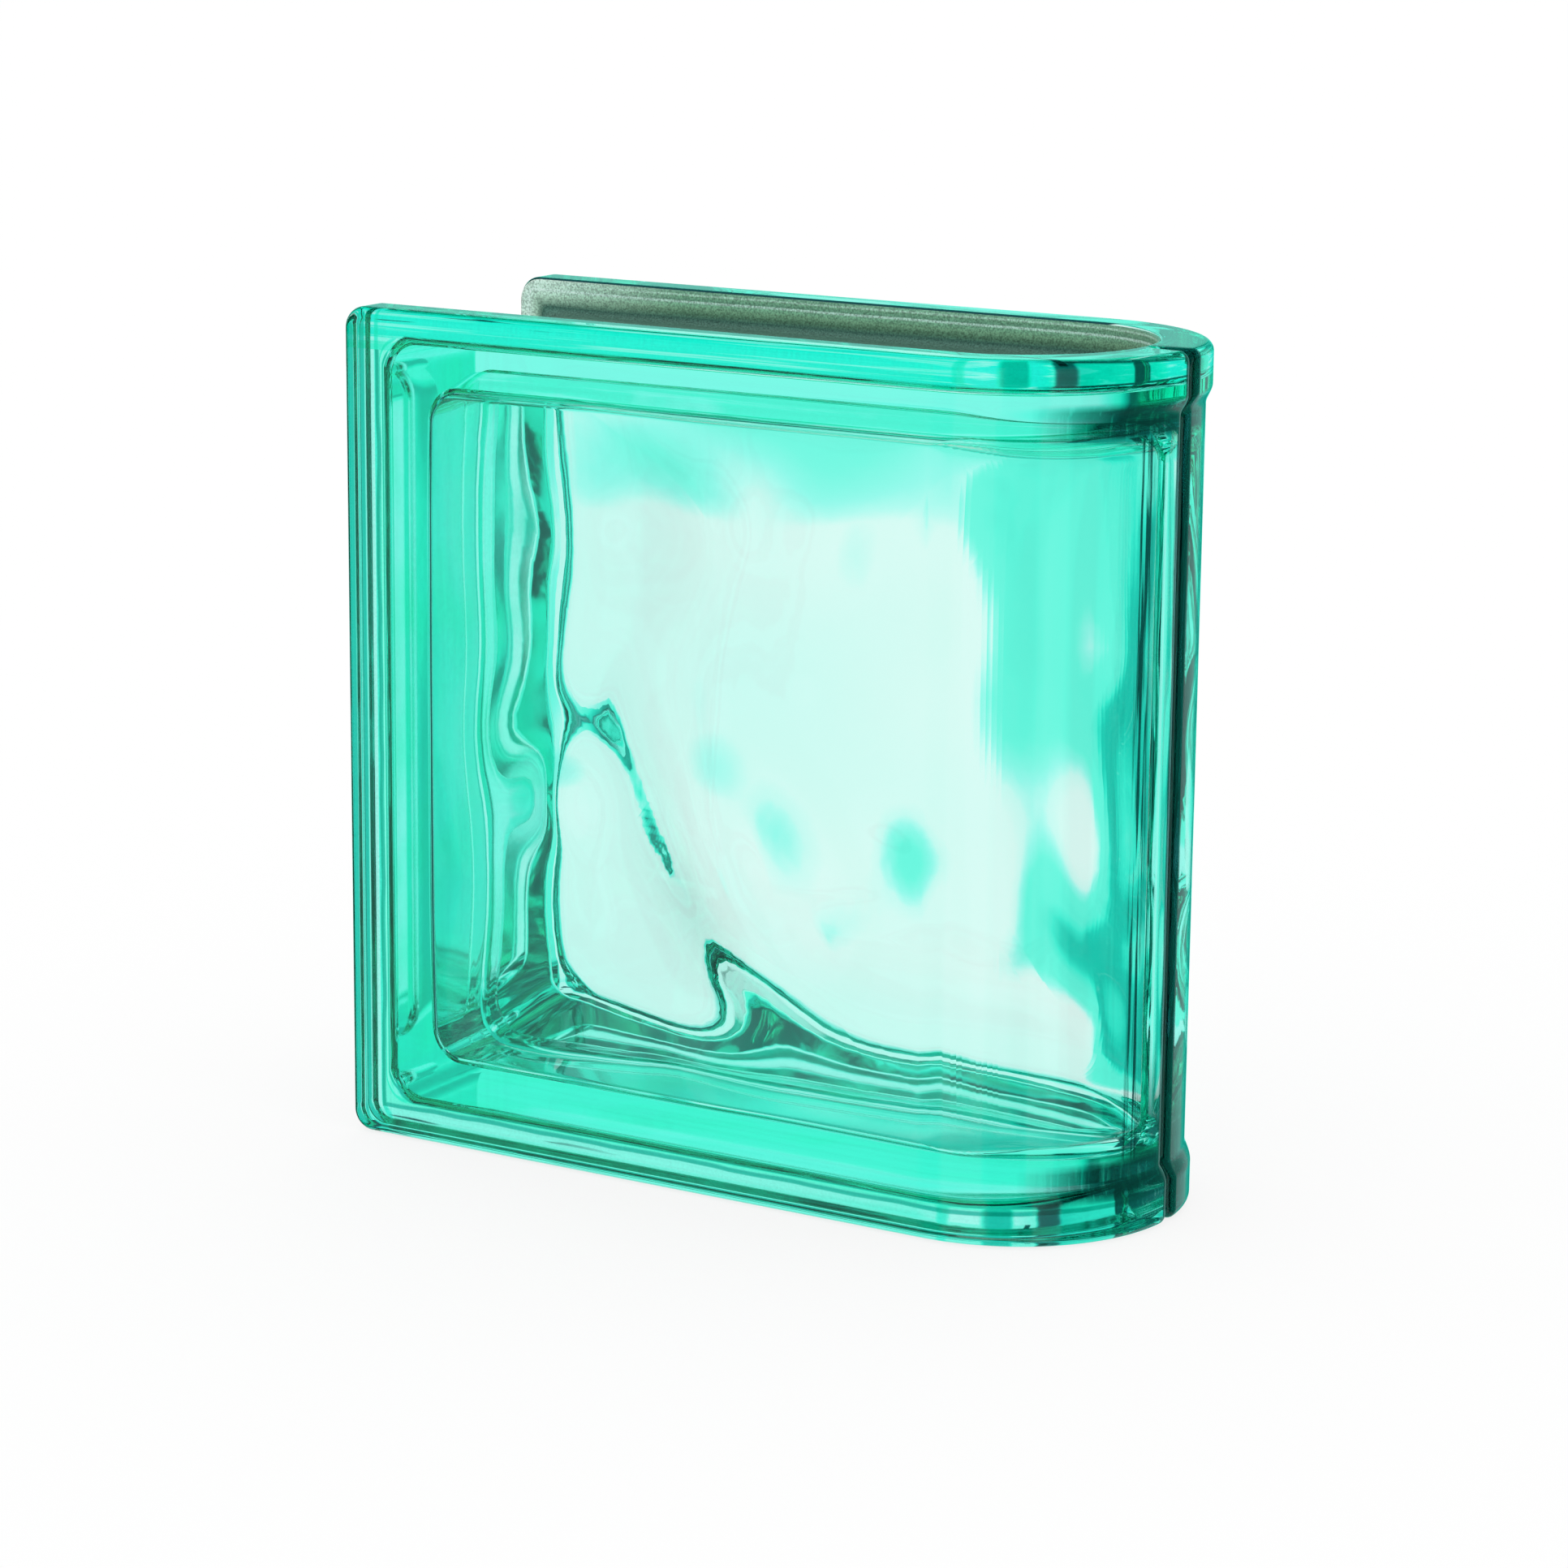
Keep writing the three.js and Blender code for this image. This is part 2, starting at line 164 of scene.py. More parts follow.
def end_reach(distance, reach, half_width):
    """How far a rounded end reaches past the flat faces at a distance from the middle plane."""
    ratio = min(1.0, distance / half_width)
    return reach * math.sqrt(1 - ratio * ratio)


def smooth_step(t):
    """A share from 0 to 1 that starts and ends gently."""
    t = min(1.0, max(0.0, t))
    return t * t * (3 - 2 * t)


def corner_arc(centre_x, centre_z, radius, start):
    """Points on a quarter circle, anticlockwise from a start angle in degrees."""
    points = []
    for i in range(CORNER_STEPS + 1):
        angle = math.radians(start + 90 * i / CORNER_STEPS)
        points.append((centre_x + radius * math.cos(angle), centre_z + radius * math.sin(angle)))
    return points


def between(start, end, steps):
    """The points that divide the way between two points, without the two."""
    return [tuple(a + (b - a) * i / steps for a, b in zip(start, end)) for i in range(1, steps)]


def shrunk(ring, share, centre):
    """A ring drawn in towards a centre, to a share of its size."""
    return [
        (centre[0] + (x - centre[0]) * share, centre[1] + (z - centre[1]) * share, *rest)
        for x, z, *rest in ring
    ]


END_HEIGHTS = round_stations(EDGE_ROUND)
END_HEIGHTS += [EDGE_ROUND + (LIP_HEIGHT - EDGE_ROUND) * i / LIP_STEPS for i in range(1, LIP_STEPS)]
END_HEIGHTS += [LIP_HEIGHT + LIP_BLEND * i / LIP_BLEND_STEPS for i in range(LIP_BLEND_STEPS + 1)]
CHANNEL_DEPTHS = sorted(round_stations(FLANGE_INNER_ROUND) + [COAT_MARGIN])
CHANNEL_DEPTHS += [CHANNEL_DEPTH - d for d in reversed(round_stations(CHANNEL_FLOOR_ROUND))]


def channel_spread(depth, shrink):
    """How far the channel's side stands out from its wall at a depth, less what a coat takes up."""
    mouth = round_setback(depth, FLANGE_INNER_ROUND)
    return mouth - round_setback(CHANNEL_DEPTH - shrink - depth, CHANNEL_FLOOR_ROUND) - shrink


def channel_end(distance, depth, depths, shrink):
    """Where the channel closes in the rounded end, in one slice: x, z and depth, mouth first."""
    points = []
    for own in depths:
        own = min(own, depth)
        spread = channel_spread(own, shrink)
        reach = end_reach(distance, CHANNEL_REACH + spread, CHANNEL_HALF_WIDTH + spread)
        points.append((FLAT_END + reach, own, own))
    return points


def left_corners(depth, inset):
    """The lower and the upper left corner at a channel depth, drawn in by an inset: x, z and depth."""
    radius = CORNER_RADIUS + (CHANNEL_CORNER_RADIUS - CORNER_RADIUS) * depth / CHANNEL_DEPTH
    left = BLOCK_LEFT + depth + radius
    low = corner_arc(left, depth + radius, radius - inset, 180)
    high = corner_arc(left, BLOCK_HEIGHT - depth - radius, radius - inset, 90)
    return [(x, z, depth) for x, z in low], [(x, z, depth) for x, z in high]


def outside_levels():
    """Pairs of distance from the middle plane and channel depth there, from a face inwards."""
    levels = [(HALF_DEPTH - d, 0.0) for d in round_stations(EDGE_ROUND)]
    levels += [(CHANNEL_HALF_WIDTH + channel_spread(d, 0.0), d) for d in CHANNEL_DEPTHS]
    levels += [(d, CHANNEL_DEPTH) for d in round_stations(SEAM_ROUND)]
    flange_start = CHANNEL_HALF_WIDTH + FLANGE_INNER_ROUND + LEAST_LEVEL_GAP
    floor_start = CHANNEL_HALF_WIDTH - CHANNEL_FLOOR_ROUND - LEAST_LEVEL_GAP
    for i in range(1, END_STEPS):
        share = math.cos(i / END_STEPS * math.pi / 2)
        if flange_start < HALF_DEPTH * share < HALF_DEPTH - EDGE_ROUND:
            levels.append((HALF_DEPTH * share, 0.0))
        if SEAM_ROUND < CHANNEL_HALF_WIDTH * share < floor_start:
            levels.append((CHANNEL_HALF_WIDTH * share, CHANNEL_DEPTH))
    return sorted(levels, key=lambda level: (-level[0], level[1]))


def outside_ring(distance, depth):
    """One slice of the outside, parallel to the faces: x, z and depth in the channel."""
    face_inset = round_setback(HALF_DEPTH - distance, EDGE_ROUND)
    seam_inset = round_setback(distance, SEAM_ROUND)
    tip = []
    for height in END_HEIGHTS:
        rise = max(height, face_inset)
        edge = round_setback(rise, EDGE_ROUND)
        recess = END_RECESS * smooth_step((rise - LIP_HEIGHT) / LIP_BLEND)
        reach = end_reach(distance, END_REACH - edge - recess - seam_inset, HALF_DEPTH - edge)
        tip.append((FLAT_END + reach, seam_inset + rise, 0.0))
    bay = [(FLAT_END, face_inset, 0.0)] * len(CHANNEL_DEPTHS)
    if depth > 0:
        bay = channel_end(distance, depth, CHANNEL_DEPTHS, 0.0)[::-1]
    lower = bay + between(bay[-1], tip[0], SHOULDER_STEPS) + tip
    upper = [(x, BLOCK_HEIGHT - z, own) for x, z, own in reversed(lower)]
    low, high = left_corners(depth, face_inset)
    ring = low + between(low[-1], lower[0], FLANGE_STEPS) + lower
    ring += between(lower[-1], upper[0], SPAN_STEPS) + upper
    ring += between(upper[-1], high[0], FLANGE_STEPS) + high
    return ring + between(high[-1], low[0], SPAN_STEPS)


def outside_slices():
    """The slices of the whole outside with the y of each, front face to back face."""
    levels = outside_levels()
    behind = [level for level in reversed(levels) if level[0] > 0]
    slices = [(-distance, outside_ring(distance, depth)) for distance, depth in levels]
    slices += [(distance, outside_ring(distance, depth)) for distance, depth in behind]
    flat = outside_ring(HALF_DEPTH, 0.0)
    for share in FACE_BANDS:
        band = shrunk(flat, share, (0.0, HALF_HEIGHT))
        slices.insert(0, (-HALF_DEPTH, band))
        slices.append((HALF_DEPTH, band))
    return slices


def wave_at(x, z, waves):
    """How much deeper than a flat one the face of the cavity is at a place."""
    depth = 0.0
    for wall in (x - BLOCK_LEFT - FACE_INSET, z - FACE_INSET, BLOCK_HEIGHT - FACE_INSET - z):
        depth = depth - FACE_DISH * np.maximum(0, 1 - wall / FACE_DISH_REACH) ** 2
    for wave_x, wave_z, run_x, run_z, width, dip in waves:
        from_x = x / MM - wave_x
        from_z = z / MM - wave_z
        length = max(run_x ** 2 + run_z ** 2, 1e-6)
        along = np.clip((from_x * run_x + from_z * run_z) / length, -1, 1)
        apart = (from_x - along * run_x) ** 2 + (from_z - along * run_z) ** 2
        depth = depth + dip * MM * np.exp(-apart / width ** 2)
    return depth


def waved(ring, side, distance, waves):
    """A ring at its distance from the seam, pushed by the waves, which fade out towards the seam."""
    flat = np.array(ring)
    share = smooth_step(distance / CAVITY_DEPTH)
    y = side * (distance + share * wave_at(flat[:, 0], flat[:, 1], waves))
    return np.column_stack([flat[:, 0], y, flat[:, 1]]).tolist()


def cavity_ring(distance):
    """One slice of the cavity, parallel to the faces: x and z."""
    bead = SEAM_BEAD * math.sqrt(max(0.0, 1 - (distance / SEAM_BEAD_WIDTH) ** 2))
    corner = round_setback(CAVITY_DEPTH - distance, CAVITY_ROUND)
    inset = CAVITY_INSET + WALL_DRAFT * distance / CAVITY_DEPTH + bead + corner
    radius = max(CAVITY_CORNER_RADIUS - corner, SMALLEST_CORNER)
    left = BLOCK_LEFT + inset + radius
    right = FLAT_END + end_reach(distance, CAVITY_REACH - bead, CAVITY_DEPTH) - radius
    low = inset + radius
    high = BLOCK_HEIGHT - inset - radius
    arcs = [
        corner_arc(left, low, radius, 180),
        corner_arc(right, low, radius, 270),
        corner_arc(right, high, radius, 0),
        corner_arc(left, high, radius, 90),
    ]
    ring = []
    for arc, following in zip(arcs, arcs[1:] + arcs[:1]):
        ring += arc + between(arc[-1], following[0], WAVE_STEPS)
    return ring


def cavity_levels():
    """Distances from the middle plane at which the cavity is sliced, from a face inwards."""
    levels = [CAVITY_DEPTH - d for d in round_stations(CAVITY_ROUND, CAVITY_ROUND_STEPS)]
    levels += [SEAM_BEAD_WIDTH - d for d in round_stations(SEAM_BEAD_WIDTH)]
    for i in range(1, END_STEPS):
        level = CAVITY_DEPTH * math.cos(i / END_STEPS * math.pi / 2)
        if SEAM_BEAD_WIDTH < level:
            levels.append(level)
    return sorted(set(levels), reverse=True)


def cavity_stack():
    """The slices of the cavity, front face to back face, and the middles of its two faces."""
    rim = cavity_ring(CAVITY_DEPTH)
    centre = ((rim[0][0] + FLAT_END) / 2, HALF_HEIGHT)
    rings = []
    middles = []
    for side, waves in ((-1, FRONT_WAVES), (1, BACK_WAVES)):
        half = []
        for step in range(1, FACE_STEPS):
            half.append(waved(shrunk(rim, step / FACE_STEPS, centre), side, CAVITY_DEPTH, waves))
        half += [waved(cavity_ring(distance), side, distance, waves) for distance in cavity_levels()]
        rings += half if side < 0 else half[-2::-1]
        middles += waved([centre], side, CAVITY_DEPTH, waves)
    return rings, middles


def stacked(rings, first_middle, last_middle, offset):
    """Points, quads and end triangles of a closed stack of rings, counted from an offset."""
    size = len(rings[0])
    points = np.concatenate([np.array(ring) for ring in rings] + [np.array([first_middle, last_middle])])
    own = np.arange(size)
    following = (own + 1) % size
    quads = []
    for start in range(offset, offset + (len(rings) - 1) * size, size):
        a = start + own
        b = start + following
        quads.append(np.stack([a, b, b + size, a + size], 1))
    middle = offset + len(rings) * size
    last = middle - size
    fans = [np.stack([np.full(size, middle), offset + following, offset + own], 1)]
    fans.append(np.stack([np.full(size, middle + 1), last + own, last + following], 1))
    return points, np.concatenate(quads).tolist(), np.concatenate(fans).tolist()


def weight_normals(mesh):
    """Weights the vertex normals by face area, so that flats stay flat beside their rounds."""
    normals = np.zeros((len(mesh.vertices), 3))
    for polygon in mesh.polygons:
        share = np.array(polygon.normal) * polygon.area
        for vertex in polygon.vertices:
            normals[vertex] += share
    length = np.linalg.norm(normals, axis=1, keepdims=True)
    length[length == 0] = 1
    mesh.normals_split_custom_set_from_vertices((normals / length).tolist())


def closed_piece(name, points, faces, slots):
    """A smooth closed object that faces out, with the number of each face's material."""
    mesh = bpy.data.meshes.new(name)
    mesh.from_pydata(points, [], faces)
    mesh.polygons.foreach_set("material_index", slots)
    work = bmesh.new()
    work.from_mesh(mesh)
    bmesh.ops.remove_doubles(work, verts=work.verts, dist=MERGE_DISTANCE)
    bmesh.ops.dissolve_degenerate(work, edges=work.edges, dist=MERGE_DISTANCE)
    if work.calc_volume(signed=True) < 0:
        bmesh.ops.reverse_faces(work, faces=work.faces)
    for face in work.faces:
        face.smooth = True
    work.to_mesh(mesh)
    work.free()
    weight_normals(mesh)
    piece = bpy.data.objects.new(name, mesh)
    bpy.context.scene.collection.objects.link(piece)
    return piece


def fused_glass():
    """The outside and the cavity as one closed glass body; faces under the coat have material 1."""
    slices = outside_slices()
    rings = [[(x, y, z) for x, z, own in ring] for y, ring in slices]
    depths = [own for y, ring in slices for x, z, own in ring]
    front = (0.0, -HALF_DEPTH, HALF_HEIGHT)
    back = (0.0, HALF_DEPTH, HALF_HEIGHT)
    outer, quads, fans = stacked(rings, front, back, 0)
    slots = [int(min(depths[i] for i in quad) >= COAT_MARGIN - MERGE_DISTANCE) for quad in quads]
    cavity, middles = cavity_stack()
    inner, inner_quads, inner_fans = stacked(cavity, middles[0], middles[1], len(outer))
    faces = quads + fans + [face[::-1] for face in inner_quads + inner_fans]
    slots += [0] * (len(faces) - len(slots))
    return closed_piece("fused_glass", np.concatenate([outer, inner]).tolist(), faces, slots)


glass = fused_glass()


def to_linear(hex_colour):
    """An sRGB hex colour as linear RGBA."""
    parts = [int(hex_colour[i:i + 2], 16) / 255 for i in (1, 3, 5)]
    return [c / 12.92 if c <= 0.04045 else ((c + 0.055) / 1.055) ** 2.4 for c in parts] + [1.0]


def node(tree, kind, settings, links):
    """Adds a node, sets its properties and inputs, and links sockets or nodes to its inputs."""
    made = tree.nodes.new(kind)
    for key, value in settings.items():
        if hasattr(made, str(key)):
            setattr(made, key, value)
        else:
            made.inputs[key].default_value = value
    for key, source in links.items():
        tree.links.new(getattr(source, "outputs", [source])[0], made.inputs[key])
    return made


def set_stops(ramp, stops):
    """Gives a colour ramp its stops: pairs of a position and a linear colour."""
    elements = ramp.color_ramp.elements
    while len(elements) < len(stops):
        elements.new(0.5)
    for element, (position, colour) in zip(elements, stops):
        element.position = position
        element.color = colour


def new_material(name):
    """A material with an empty node tree."""
    material = bpy.data.materials.new(name)
    material.use_nodes = True
    material.node_tree.nodes.clear()
    return material


# The numbers of the sockets of a Mix node that mixes colours.
MIX_A = 6
MIX_B = 7
MIX_RESULT = 2

# Pressed soda-lime glass, fire-polished as it leaves the mould. The eye gets clear, sharp refraction, a
# turquoise that deepens with the way through the glass, a slightly wavy skin, and near-black lines
# wherever the glass turns the view away, which are partly painted shade in the base colour. The whole
# body has this one material.

CLEAR_GLASS = "#ffffff"
# The dark of the painted shade laid into the glass's base colour.
PAINTED_SHADE_DARK = "#010d12"
MASS_TINT = "#00fdf3"
# How strongly the mass takes the red out of light, for each metre of glass.
TINT_DENSITY = 19.0

# Widths and lengths of the patterns, most of them painted shade. The skin's ripples are as wide as a
# mould's tooling marks.
SKIN_RIPPLE = 9.09 * MM
SKIN_RELIEF = 0.02 * MM
SEAM_SHADE_WIDTH = 1.111 * MM
SEAM_SHADE_LENGTH = 22.2 * MM
SHADE_THREAD_WIDTH = 0.769 * MM
SHADE_THREAD_LENGTH = 33.3 * MM
ROUND_SHADE_LENGTH = 35.7 * MM
ROUND_SHADE_DEPTH = 2.38 * MM
ROUND_SHADE_WIDTH = 1.111 * MM

turquoise = new_material("pressed_soda_lime_glass")
tree = turquoise.node_tree
place = node(tree, "ShaderNodeNewGeometry", {}, {})
position = place.outputs["Position"]
at_x, at_y, at_z = node(tree, "ShaderNodeSeparateXYZ", {}, {0: position}).outputs
lean = node(tree, "ShaderNodeSeparateXYZ", {}, {0: place.outputs["Normal"]})
off_seam = node(tree, "ShaderNodeMath", {"operation": "ABSOLUTE"}, {0: at_y})
above_middle = node(tree, "ShaderNodeMath", {"operation": "SUBTRACT", 1: HALF_HEIGHT}, {0: at_z})
off_middle = node(tree, "ShaderNodeMath", {"operation": "ABSOLUTE"}, {0: above_middle})
reach = node(tree, "ShaderNodeMath", {"operation": "SUBTRACT", 1: FLAT_END}, {0: at_x})

# Everything on the outside of the block, as against the walls of the hollow.
squares = node(tree, "ShaderNodeMath", {"operation": "MULTIPLY"}, {0: reach, 1: reach})
squares = node(tree, "ShaderNodeMath", {"operation": "MULTIPLY_ADD"}, {0: off_seam, 1: off_seam, 2: squares})
off_axis = node(tree, "ShaderNodeMath", {"operation": "SQRT"}, {0: squares})
round_zone = END_REACH - 5 * MM
past_wall = node(tree, "ShaderNodeMath", {"operation": "GREATER_THAN", 1: round_zone}, {0: off_axis})
past_flat = node(tree, "ShaderNodeMath", {"operation": "GREATER_THAN", 1: 0.0}, {0: reach})
outside = node(tree, "ShaderNodeMath", {"operation": "MULTIPLY"}, {0: past_wall, 1: past_flat})
wall_zone = HALF_HEIGHT - CHANNEL_DEPTH - 5 * MM
face_zone = HALF_DEPTH - 0.6 * MM
for limit, distance in ((wall_zone, off_middle), (face_zone, off_seam)):
    beyond = node(tree, "ShaderNodeMath", {"operation": "GREATER_THAN", 1: limit}, {0: distance})
    outside = node(tree, "ShaderNodeMath", {"operation": "MAXIMUM"}, {0: outside, 1: beyond})

# Painted shade: a dark outline where the upright outside turns away, which ends before the tip.
edge_on = node(tree, "ShaderNodeLayerWeight", {"Blend": 0.5}, {})
facing = edge_on.outputs["Facing"]
turned_away_shade = node(tree, "ShaderNodeMapRange", {"From Min": 0.54, "From Max": 0.76}, {0: facing})
level_face = node(tree, "ShaderNodeMath", {"operation": "ABSOLUTE"}, {0: lean.outputs["Z"]})
upright = node(tree, "ShaderNodeMapRange", {"From Min": 0.85, "From Max": 0.5}, {0: level_face})
before_tip = node(tree, "ShaderNodeMapRange", {"From Min": 24 * MM, "From Max": 14 * MM}, {0: reach})

# Painted shade in the groove of the fused seam down the tip of the rounded end, dark and drawn out
# along its length.
seam_scale = (1 / SEAM_SHADE_WIDTH, 1 / SEAM_SHADE_WIDTH, 1 / SEAM_SHADE_LENGTH)
streaks = node(tree, "ShaderNodeMapping", {"Scale": seam_scale}, {0: position})
drawn = node(tree, "ShaderNodeTexNoise", {"Scale": 1.0, "Detail": 3.0}, {"Vector": streaks})
wander = node(tree, "ShaderNodeMath", {"operation": "MULTIPLY_ADD", 1: 1.6 * MM, 2: -0.8 * MM}, {0: drawn})
wandered = node(tree, "ShaderNodeMath", {"operation": "ADD"}, {0: off_seam, 1: wander})
seam_shade = node(tree, "ShaderNodeMapRange", {"From Min": 3.7 * MM, "From Max": 3.0 * MM}, {0: wandered})
at_tip = node(tree, "ShaderNodeMath", {"operation": "GREATER_THAN", 1: END_REACH - 8 * MM}, {0: reach})

# Painted shade: drawn-out dark threads to both sides of the seam, standing in for the wall of the
# hollow seen through the end.
off_shade_threads = node(tree, "ShaderNodeMath", {"operation": "SUBTRACT", 1: 13 * MM}, {0: wandered})
off_shade_threads = node(tree, "ShaderNodeMath", {"operation": "ABSOLUTE"}, {0: off_shade_threads})
beside = node(tree, "ShaderNodeMapRange", {"From Min": 2.4 * MM, "From Max": 1.2 * MM}, {0: off_shade_threads})
shade_thread_scale = (1 / SHADE_THREAD_WIDTH, 1 / SHADE_THREAD_WIDTH, 1 / SHADE_THREAD_LENGTH)
shade_thread_way = node(tree, "ShaderNodeMapping", {"Scale": shade_thread_scale}, {0: position})
shade_threads = node(tree, "ShaderNodeTexNoise", {"Scale": 1.0, "Detail": 2.0}, {"Vector": shade_thread_way})
shade_thread = node(
    tree, "ShaderNodeMapRange", {"From Min": 0.44, "From Max": 0.56, "To Max": 0.97}, {0: shade_threads})
lip_end = HALF_HEIGHT - LIP_HEIGHT
between_lips = node(
    tree, "ShaderNodeMapRange",
    {"From Min": lip_end - 3 * MM, "From Max": lip_end - 9 * MM}, {0: off_middle})

# Painted shade: black pools under the upper lip and over the lower one, and behind the seam at the foot.
off_blend = node(tree, "ShaderNodeMath", {"operation": "SUBTRACT", 1: lip_end - LIP_BLEND}, {0: off_middle})
off_blend = node(tree, "ShaderNodeMath", {"operation": "ABSOLUTE"}, {0: off_blend})
in_blend = node(tree, "ShaderNodeMapRange", {"From Min": 4.6 * MM, "From Max": 2.6 * MM}, {0: off_blend})
past_shoulder = node(tree, "ShaderNodeMapRange", {"From Min": 20 * MM, "From Max": 33 * MM}, {0: reach})
foot = node(tree, "ShaderNodeMapRange", {"From Min": 36 * MM, "From Max": 18 * MM}, {0: at_z})
behind = node(tree, "ShaderNodeMapRange", {"From Min": 0.0, "From Max": 2 * MM}, {0: at_y})
near_tip = node(tree, "ShaderNodeMapRange", {"From Min": 22 * MM, "From Max": 30 * MM}, {0: reach})
shade_pooled = node(tree, "ShaderNodeTexNoise", {"Scale": 1.0, "Detail": 2.0}, {"Vector": streaks})
shade_pool = node(tree, "ShaderNodeMapRange", {"From Min": 0.3, "From Max": 0.45, "To Min": 0.75}, {0: shade_pooled})

# Painted shade: a thin dark line where the coat stops, just inside the flange edge.
coat_stop = CHANNEL_HALF_WIDTH + 0.35 * MM
off_coat = node(tree, "ShaderNodeMath", {"operation": "SUBTRACT", 1: coat_stop}, {0: off_seam})
off_coat = node(tree, "ShaderNodeMath", {"operation": "ABSOLUTE"}, {0: off_coat})
stop_line_shade = node(tree, "ShaderNodeMapRange", {"From Min": 0.7 * MM, "From Max": 0.45 * MM}, {0: off_coat})
edge_zone = HALF_HEIGHT - 1.2 * MM
at_edge = node(tree, "ShaderNodeMath", {"operation": "GREATER_THAN", 1: edge_zone}, {0: off_middle})

# Painted shade: dark streaks drawn along the upper and lower rounds of the two faces, most at the flat end.
round_shade_scale = (1 / ROUND_SHADE_LENGTH, 1 / ROUND_SHADE_DEPTH, 1 / ROUND_SHADE_WIDTH)
round_shade_way = node(tree, "ShaderNodeMapping", {"Scale": round_shade_scale}, {0: position})
round_shade_noise = node(tree, "ShaderNodeTexNoise", {"Scale": 1.0, "Detail": 3.0}, {"Vector": round_shade_way})
round_shade = node(tree, "ShaderNodeMapRange", {"From Min": 0.56, "From Max": 0.62}, {0: round_shade_noise})
edge_round_zone = HALF_HEIGHT - 2.6 * MM
on_round = node(tree, "ShaderNodeMath", {"operation": "GREATER_THAN", 1: edge_round_zone}, {0: off_middle})
near_face_zone = HALF_DEPTH - 4 * MM
near_face = node(tree, "ShaderNodeMath", {"operation": "GREATER_THAN", 1: near_face_zone}, {0: off_seam})
flat_end = node(tree, "ShaderNodeMapRange", {"From Min": -20 * MM, "From Max": -60 * MM}, {0: at_x})

# Each mark of painted shade is dark where all its masks hold, and the darkest mark counts.
painted_shade_marks = (
    (turned_away_shade, upright, before_tip, outside),
    (stop_line_shade, at_edge, outside),
    (round_shade, on_round, near_face, flat_end, outside),
    (beside, shade_thread, at_tip, between_lips),
    (in_blend, past_shoulder, shade_pool),
    (foot, behind, near_tip, shade_pool),
)
painted_darkness = node(tree, "ShaderNodeMath", {"operation": "MULTIPLY"}, {0: seam_shade, 1: at_tip})
for shade_mark, *masks in painted_shade_marks:
    for mask in masks:
        shade_mark = node(tree, "ShaderNodeMath", {"operation": "MULTIPLY"}, {0: shade_mark, 1: mask})
    painted_darkness = node(tree, "ShaderNodeMath", {"operation": "MAXIMUM"}, {0: painted_darkness, 1: shade_mark})
# Squared, because glass passes light by the root of its colour, which would leave faint marks too pale.
light = node(tree, "ShaderNodeMath", {"operation": "SUBTRACT", 0: 1.0}, {1: painted_darkness})
light = node(tree, "ShaderNodeMath", {"operation": "MULTIPLY"}, {0: light, 1: light})
painted_shade_colours = {"data_type": "RGBA", MIX_A: to_linear(PAINTED_SHADE_DARK), MIX_B: to_linear(CLEAR_GLASS)}
clear = node(tree, "ShaderNodeMix", painted_shade_colours, {0: light})
ripple = node(tree, "ShaderNodeTexNoise", {"Scale": 1 / SKIN_RIPPLE, "Detail": 2.0}, {"Vector": position})
skin = node(tree, "ShaderNodeBump", {"Strength": 1.0, "Distance": SKIN_RELIEF}, {"Height": ripple})
body = node(
    tree, "ShaderNodeBsdfPrincipled",
    {"Roughness": 0.0, "IOR": 1.52, "Transmission Weight": 1.0},
    {"Base Color": clear.outputs[MIX_RESULT], "Normal": skin})
tint_of_mass = {"Color": to_linear(MASS_TINT), "Density": TINT_DENSITY}
tint = node(tree, "ShaderNodeVolumeAbsorption", tint_of_mass, {})
node(tree, "ShaderNodeOutputMaterial", {}, {"Surface": body, "Volume": tint})
glass.data.materials.append(turquoise)

# Sprayed vinyl paint, seen from its glass side. It wets the glass, so the eye gets a bright, faintly
# streaked sheen like foil. Its colour is painted light: bands of painted white highlight and painted
# turquoise reflection that follow the edge.

PAINTED_HIGHLIGHT_WHITE = "#ffffff"
# Painted highlight and painted turquoise reflection by depth from the edge in mm, under the top edge
# and along the other sides.
TOP_PAINTED_BANDS = (
    (0.0, PAINTED_HIGHLIGHT_WHITE),
    (2.6, PAINTED_HIGHLIGHT_WHITE),
    (3.1, "#3ffaef"),
    (7.2, "#30f6e7"),
    (7.6, PAINTED_HIGHLIGHT_WHITE),
    (8.1, PAINTED_HIGHLIGHT_WHITE),
    (8.4, "#7cfae7"),
)
SIDE_PAINTED_BANDS = (
    (0.0, PAINTED_HIGHLIGHT_WHITE),
    (5.0, PAINTED_HIGHLIGHT_WHITE),
    (5.3, "#59c4bc"),
    (6.0, "#59c4bc"),
    (6.4, "#cbfff3"),
    (8.2, "#cbfff3"),
    (8.6, PAINTED_HIGHLIGHT_WHITE),
)
BANDS_REACH = 10
BAND_WANDER = 22.2 * MM
# Wiping the flange clean leaves fine streaks along it. Paint grains are drawn coarser than real.
STREAK_LENGTH = 71.4 * MM
STREAK_DEPTH = 4.0 * MM
STREAK_WIDTH = 0.714 * MM
PAINT_GRAIN = 0.556 * MM

painted_sheen = new_material("paint_behind_glass_painted_sheen")
tree = painted_sheen.node_tree
place = node(tree, "ShaderNodeNewGeometry", {}, {})
position = place.outputs["Position"]
at_x, _, at_z = node(tree, "ShaderNodeSeparateXYZ", {}, {0: position}).outputs
from_top = node(tree, "ShaderNodeMath", {"operation": "SUBTRACT", 0: BLOCK_HEIGHT}, {1: at_z})
from_left = node(tree, "ShaderNodeMath", {"operation": "SUBTRACT", 1: BLOCK_LEFT}, {0: at_x})
from_side = node(tree, "ShaderNodeMath", {"operation": "MINIMUM"}, {0: from_left, 1: at_z})
is_top = node(tree, "ShaderNodeMath", {"operation": "LESS_THAN", 1: BANDS_REACH * MM}, {0: from_top})

